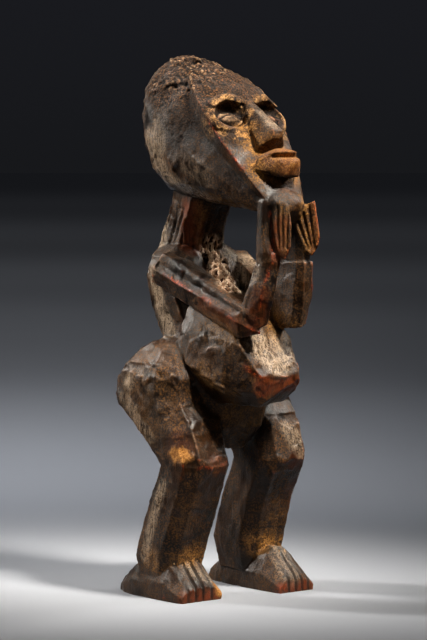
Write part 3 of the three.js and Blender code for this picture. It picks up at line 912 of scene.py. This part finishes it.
def patina_colour(wood, marks, noises, powder):
    """Near black to warm brown in clouds, with a painted highlight in pale silver-brown on facets and rims
    where the light falls.
    """
    flecks = wood.plus(0.35, wood.times(wood.step(noises.specks, 0.42, 0.56), 0.65))
    warm = wood.times(wood.step(noises.clouds, 0.36, 0.6), flecks)
    colour = wood.mix(warm, NEAR_BLACK, WARM_BROWN)
    fresh = wood.times(wood.step(marks.tone, 0.55, 0.85), wood.step(noises.blotch, 0.35, 0.6))
    colour = wood.mix(wood.times(fresh, 0.3), colour, FRESH_BROWN)
    colour = wood.mix(wood.times(powder, 0.66), colour, POWDER_BROWN)
    patches = wood.step(noises.blotch, 0.25, 0.5)
    colour = wood.mix(wood.times(marks.stain, patches), colour, STAIN_RED)
    # Painted highlights: pale silver-brown, broken by brown pits
    pits = wood.times(wood.step(noises.scratches, 0.36, 0.5), wood.step(noises.specks, 0.34, 0.5))
    highlight_silver = wood.mix(pits, PIT_BROWN, HIGHLIGHT_SILVER)
    colour = wood.mix(wood.times(marks.pale, patches, 0.85), colour, highlight_silver)
    soot = wood.times(wood.step(noises.blotch, 0.52, 0.66), wood.step(noises.specks, 0.38, 0.55))
    colour = wood.mix(wood.times(soot, 0.6), colour, SOOT)
    return wood.mix(wood.times(wood.step(noises.grain, 0.52, 0.68), 0.55), colour, GRAIN_DARK)


def with_crust(wood, marks, noises, colour):
    """Crusted offerings: dark in the pores, brown on the lumps, tan round the eyes, with a painted
    highlight on the crown's crests and painted shade where the crust sinks.
    """
    crusted = wood.mix(wood.step(noises.specks, 0.42, 0.58), CRUST_PORE, CRUST_BROWN)
    top = wood.mix(wood.step(noises.specks, 0.45, 0.68), CROWN_PORE, CROWN_BROWN)
    crusted = wood.mix(wood.times(marks.crown, wood.step(noises.blotch, 0.3, 0.58)), crusted, top)
    # Painted highlight: pale tan on the crests of the crown's crust
    crest_highlight = wood.times(marks.wear, marks.crown, wood.step(noises.blotch, 0.42, 0.6))
    crusted = wood.mix(crest_highlight, crusted, CROWN_CREST_HIGHLIGHT)
    # Painted shade: darker where the crust sinks
    crusted = wood.mix(wood.times(marks.sunk, 0.75), crusted, CRUST_PAINTED_SHADE)
    colour = wood.mix(wood.times(marks.crust, 0.92), colour, crusted)
    tan = wood.mix(wood.step(noises.specks, 0.38, 0.64), TAN_DARK, TAN_LIGHT)
    return wood.mix(wood.times(marks.ring, wood.step(noises.blotch, 0.42, 0.60)), colour, tan)


def with_rubbed_edges(wood, marks, noises, colour):
    """Worn brown on every edge, which is also a painted highlight there, and red to orange where hands have
    held the figure.
    """
    # Every convex edge is lighter: worn wood, and a painted highlight along the edges
    edge = wood.times(marks.wear, wood.step(noises.blotch, 0.25, 0.55))
    brown = wood.mix(wood.step(noises.drift, 0.4, 0.6), EDGE_BROWN, PALE_EDGE_WEAR_AND_HIGHLIGHT)
    colour = wood.mix(wood.times(edge, 0.75), colour, brown)
    held = wood.times(marks.wear, marks.worn_spot, wood.step(noises.blotch, 0.2, 0.45))
    held = wood.most(held, wood.times(marks.rubbed, wood.step(noises.blotch, 0.36, 0.56)))
    red = wood.mix(wood.step(noises.specks, 0.45, 0.68), DEEP_RED, ORANGE_RED)
    return wood.mix(wood.times(held, 0.8), colour, red)


def with_dust_and_painted_shade(wood, marks, noises, dusty, colour):
    """Ochre dust in the recesses, painted shade where little open sky is left and where the surface sinks,
    and the cuts between the toes.
    """
    ochre = wood.mix(wood.step(noises.specks, 0.38, 0.62), OCHRE_DARK, OCHRE_LIGHT)
    colour = wood.mix(dusty, colour, ochre)
    # Painted shade: near black where the open sky round a point is small and where the surface sinks, less
    # under dust
    occluded_shade = wood.times(wood.step(marks.sky, 0.58, 0.22), 0.75)
    painted_shade = wood.most(occluded_shade, wood.times(marks.sunk, 0.6))
    painted_shade = wood.times(painted_shade, wood.minus(1.0, wood.times(marks.dust, 0.85)))
    colour = wood.mix(painted_shade, colour, PAINTED_SHADE_DARK)
    colour = wood.mix(wood.times(wood.step(marks.groove, 0.08, 0.4), 0.7), colour, GROOVE_DARK)
    opened = wood.times(wood.step(marks.groove, 0.74, 0.92), wood.step(noises.blotch, 0.32, 0.5))
    return wood.mix(opened, colour, GROOVE_OPENED)


def with_raw_wood(wood, marks, noises, colour):
    """Rotten wood at the neck, and patches where the patina is gone."""
    raw = wood.mix(wood.step(noises.grain, 0.4, 0.62), RAW_BROWN, RAW_PALE)
    # Painted shade: darker brown where the rotten wood sinks
    rotten = wood.mix(wood.step(marks.sunk, 0.15, 0.6), raw, HOLLOW_PAINTED_SHADE)
    colour = wood.mix(wood.times(marks.rot, wood.step(noises.blotch, 0.25, 0.45)), colour, rotten)
    scraped = wood.mix(wood.step(noises.specks, 0.4, 0.6), SCRAPED_DARK, SCRAPED_LIGHT)
    return wood.mix(marks.bare, colour, scraped)


def wood_roughness(wood, marks, noises, powder, matte):
    """Glossy where hands polished the wood, matte where crust, dust or raw wood shows."""
    rough = wood.plus(BASE_ROUGHNESS, wood.times(wood.step(noises.drift, 0.35, 0.65), 0.28))
    rough = wood.plus(rough, wood.times(powder, 0.25), wood.times(matte, 0.35))
    rough = wood.minus(rough, wood.times(wood.most(marks.wear, marks.pale), 0.16))
    return wood.chain("MINIMUM", rough, MOST_ROUGHNESS)


def wood_bump(wood, marks, noises, matte):
    """Pores, scratches and grain too fine for the mesh."""
    height = wood.plus(
        wood.times(noises.grain, 0.4),
        wood.times(noises.specks, 0.5),
        wood.times(noises.scratches, 0.35),
        wood.times(noises.specks, matte, 1.4),
        wood.times(noises.blotch, 0.3),
        wood.times(noises.scratches, marks.pale, 0.9),
    )
    bump = wood.make("ShaderNodeBump", Strength=BUMP_STRENGTH, Distance=BUMP_METRES, Height=height)
    return bump.outputs[0]


def wood_material():
    wood = Nodes("carved_wood")
    marks = SimpleNamespace(**{name: wood.attribute(name) for name in POINT_MARKS})
    noises = wood_patterns(wood)
    powder = powder_share(wood, marks, noises)
    dusty = wood.times(marks.dust, wood.step(noises.blotch, 0.3, 0.58))
    colour = patina_colour(wood, marks, noises, powder)
    colour = with_crust(wood, marks, noises, colour)
    colour = with_rubbed_edges(wood, marks, noises, colour)
    colour = with_dust_and_painted_shade(wood, marks, noises, dusty, colour)
    colour = with_raw_wood(wood, marks, noises, colour)
    colour = wood.make("ShaderNodeGamma", Color=colour, Gamma=DEEPENED).outputs[0]
    matte = wood.most(marks.crust, dusty, marks.rot, marks.bare)
    wood.feed(wood.shader.inputs["Base Color"], colour)
    wood.feed(wood.shader.inputs["Roughness"], wood_roughness(wood, marks, noises, powder, matte))
    wood.feed(wood.shader.inputs["Normal"], wood_bump(wood, marks, noises, matte))
    wood.feed(wood.shader.inputs["Specular IOR Level"], SPECULAR)
    return wood.material


FLOOR_CLOUDS = (3, 2, 0.55)
FLOOR_DARKER = rgb(0.210, 0.222, 0.250)
FLOOR_PALER = rgb(0.222, 0.234, 0.262)
FLOOR_ROUGHNESS = 0.75


def floor_material():
    paint = Nodes("pale_floor")
    place = paint.make("ShaderNodeTexCoord").outputs["Object"]
    colour = paint.mix(paint.noise(place, *FLOOR_CLOUDS), FLOOR_DARKER, FLOOR_PALER)
    paint.feed(paint.shader.inputs["Base Color"], colour)
    paint.feed(paint.shader.inputs["Roughness"], FLOOR_ROUGHNESS)
    return paint.material


# Stage, light and camera
FLOOR_METRES = 120


def build_floor():
    bpy.ops.mesh.primitive_plane_add(size=FLOOR_METRES, location=(0, 0, 0))
    floor = bpy.context.object
    floor.name = "floor"
    floor.data.materials.append(floor_material())


# The camera stands 40 degrees to the figure's right. Rows and the focal length are in pixels of a
# picture 640 high, in which the horizon lies at row 160.
CAMERA_AZIMUTH = -40
CAMERA_DISTANCE = 1500
CAMERA_HEIGHT = 237.6
SIDE_SHIFT = -1.925
PICTURE_ROWS = 640
HORIZON_ROW = 160
FOCAL_PIXELS = 2727.3
SENSOR_WIDTH = 36
NEAREST_METRES, FARTHEST_METRES = 0.1, 50


def build_camera():
    turn = math.radians(CAMERA_AZIMUTH)
    back = Vector((math.sin(turn), -math.cos(turn), 0))
    right = Vector((math.cos(turn), math.sin(turn), 0))
    pitch = math.atan((PICTURE_ROWS / 2 - HORIZON_ROW) / FOCAL_PIXELS)
    place = Vector(MIDDLE) + back * CAMERA_DISTANCE + right * SIDE_SHIFT + Vector((0, 0, CAMERA_HEIGHT))
    ahead = -back * math.cos(pitch) - Vector((0, 0, math.sin(pitch)))
    camera = bpy.data.objects.new("camera", bpy.data.cameras.new("camera"))
    bpy.context.scene.collection.objects.link(camera)
    camera.location = place / 1000
    camera.rotation_mode = "QUATERNION"
    camera.rotation_quaternion = ahead.to_track_quat("-Z", "Y")
    camera.data.sensor_width = SENSOR_WIDTH
    camera.data.lens = FOCAL_PIXELS * SENSOR_WIDTH / PICTURE_ROWS
    camera.data.clip_start = NEAREST_METRES
    camera.data.clip_end = FARTHEST_METRES
    bpy.context.scene.camera = camera


# Lights hung over the floor beyond the figure, as the camera sees it. Metres beyond it, to the left
# and up, then spread and power.
FLOOR_LIGHTS = [
    (0.42, 0.18, 1.2, 38, 1.1),
    (0.85, 0.22, 1.4, 44, 1.3),
    (1.4, 0.24, 1.8, 42, 0.7),
    (2.3, 0.32, 2.4, 48, 1.2),
    (3.9, 0.50, 3.4, 56, 1.9),
    (7.0, 0.80, 5.0, 80, 3.6),
    (13.0, 1.2, 8.0, 110, 6.0),
]
# The width of a floor light, as a share of its height
FLOOR_LIGHT_SHARE = 0.5
WHITE = (1, 1, 1)
WARM = (1.0, 0.93, 0.82)
SOFT_WARM = (1.0, 0.93, 0.83)
PALE_WARM = (1.0, 0.95, 0.87)
# Lights on the figure: azimuth, elevation, metres away, size in metres, power, spread, tint, and the
# height they are aimed at, in metres
FIGURE_LIGHTS = {
    "key": (50, 60, 1.0, (0.16, 0.16), 0.66, 20, WARM, 0.16),
    "top": (-10, 78, 1.0, (0.25, 0.25), 0.05, 20, SOFT_WARM, 0.15),
    "left_rim": (-106, 32, 1.0, (0.10, 0.4), 0.74, 26, PALE_WARM, 0.18),
    "right_rim": (115, 36, 1.0, (0.2, 0.4), 0.32, 26, PALE_WARM, 0.18),
    "fill": (-42, 30, 1.2, (0.4, 0.4), 0.10, 26, SOFT_WARM, 0.17),
}
# The room: as dark at the horizon as the floor is where it meets it
HORIZON_COLOUR = rgb(0.0085, 0.0090, 0.0106)
LOW_COLOUR = rgb(0.0098, 0.0103, 0.0130)
LOW_HEIGHT = 0.06
OVERHEAD_COLOUR = rgb(0.034, 0.035, 0.038)


def light(name, azimuth, elevation, distance, size, power, spread, tint, aim):
    """A soft oblong light; the azimuth is counted from the camera's, to its right."""
    turn, rise = math.radians(CAMERA_AZIMUTH + azimuth), math.radians(elevation)
    way = Vector((math.sin(turn) * math.cos(rise), -math.cos(turn) * math.cos(rise), math.sin(rise)))
    lamp = bpy.data.objects.new(name, bpy.data.lights.new(name, "AREA"))
    lamp.data.shape = "RECTANGLE"
    lamp.data.size, lamp.data.size_y = size
    lamp.data.energy = power
    lamp.data.spread = math.radians(spread)
    lamp.data.color = tint
    lamp.location = Vector(aim) + way * distance
    lamp.rotation_mode = "QUATERNION"
    lamp.rotation_quaternion = (-way).to_track_quat("-Z", "Y")
    bpy.context.scene.collection.objects.link(lamp)


def build_lights():
    sine, cosine = math.sin(math.radians(CAMERA_AZIMUTH)), math.cos(math.radians(CAMERA_AZIMUTH))
    for row, (behind, left, height, spread, power) in enumerate(FLOOR_LIGHTS):
        foot = (-sine * behind - cosine * left, cosine * behind - sine * left, 0)
        size = (FLOOR_LIGHT_SHARE * height, FLOOR_LIGHT_SHARE * height)
        light(f"floor_light_{row}", 0, 90, height, size, power, spread, WHITE, foot)
    for name, (*placing, height) in FIGURE_LIGHTS.items():
        light(name, *placing, (0, 0, height))


def build_room():
    """A dark room all round, a little lighter overhead."""
    world = bpy.data.worlds.new("world")
    world.use_nodes = True
    nodes, links = world.node_tree.nodes, world.node_tree.links
    place = nodes.new("ShaderNodeTexCoord")
    height = nodes.new("ShaderNodeSeparateXYZ")
    ramp = nodes.new("ShaderNodeValToRGB")
    links.new(place.outputs["Generated"], height.inputs[0])
    links.new(height.outputs["Z"], ramp.inputs[0])
    links.new(ramp.outputs[0], nodes["Background"].inputs[0])
    horizon, overhead = ramp.color_ramp.elements
    horizon.position, horizon.color = 0.0, HORIZON_COLOUR
    overhead.position, overhead.color = 1.0, OVERHEAD_COLOUR
    ramp.color_ramp.elements.new(LOW_HEIGHT).color = LOW_COLOUR
    bpy.context.scene.world = world
    bpy.context.scene.view_settings.view_transform = "Standard"


carved = build_figure()
carved.data.materials.clear()
carved.data.materials.append(wood_material())
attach(carved, "root")
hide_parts("figure")
build_floor()
build_camera()
build_lights()
build_room()
